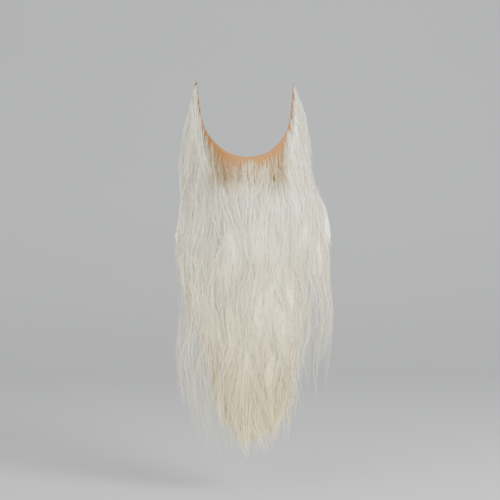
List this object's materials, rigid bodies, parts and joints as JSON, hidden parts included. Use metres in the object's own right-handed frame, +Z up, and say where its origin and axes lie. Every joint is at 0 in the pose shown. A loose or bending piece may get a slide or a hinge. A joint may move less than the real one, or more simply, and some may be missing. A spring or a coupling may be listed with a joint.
{
  "type": "long false beard",
  "caption": "Long false beard of fine white hair in soft tapering locks, knotted into a thin skin-toned net that runs from sideburn to sideburn under the lip and chin.",
  "frame": {"origin": "on the net's inner face at the front of the chin, in the middle of the face", "axes": "+X to the viewer's right, +Y to the back of the head, +Z up; the wearer looks along -Y"},
  "size_m": [0.2319, 0.1231, 0.5551],
  "materials": {
    "net": "fine flesh-coloured tulle, matt",
    "hair": "fine slightly crimped white hair, soft sheen"
  },
  "bodies": {
    "root": {"lace_net": "net", "lip_tuft": "hair", "chin_fall": "hair", "jaw_fall_left": "hair", "jaw_fall_right": "hair", "sideburn_fall_left": "hair", "sideburn_fall_right": "hair", "throat_fall": "hair"}
  },
  "joints": []
}
